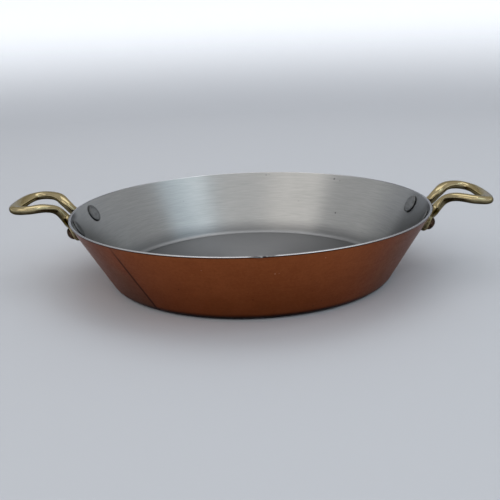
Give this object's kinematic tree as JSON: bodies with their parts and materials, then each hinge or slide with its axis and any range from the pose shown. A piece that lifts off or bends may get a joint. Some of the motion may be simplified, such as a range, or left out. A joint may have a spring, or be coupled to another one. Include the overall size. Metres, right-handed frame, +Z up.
{
  "type": "round copper pan",
  "caption": "Shallow round copper pan with flared wall, flat bottom, bright metal lining and riveted brass loop handles, for baking and gratins.",
  "frame": {"origin": "centre of the underside, on the surface that the pan stands on", "axes": "+Z up through the middle of the pan, +X from the left handle to the right handle, +Y from front to rear"},
  "size_m": [0.2664, 0.2, 0.0451],
  "materials": {
    "copper": "satin copper with a brown tone from use",
    "lining": "brushed round the pan",
    "cast_brass": "polished casting",
    "rivet_metal": "dull bronze outside, bright inside"
  },
  "bodies": {
    "root": {"copper_shell": "copper", "steel_lining": "lining", "left_handle": "cast_brass", "right_handle": "cast_brass", "left_front_rivet": "rivet_metal", "left_rear_rivet": "rivet_metal", "right_front_rivet": "rivet_metal", "right_rear_rivet": "rivet_metal"}
  },
  "joints": []
}
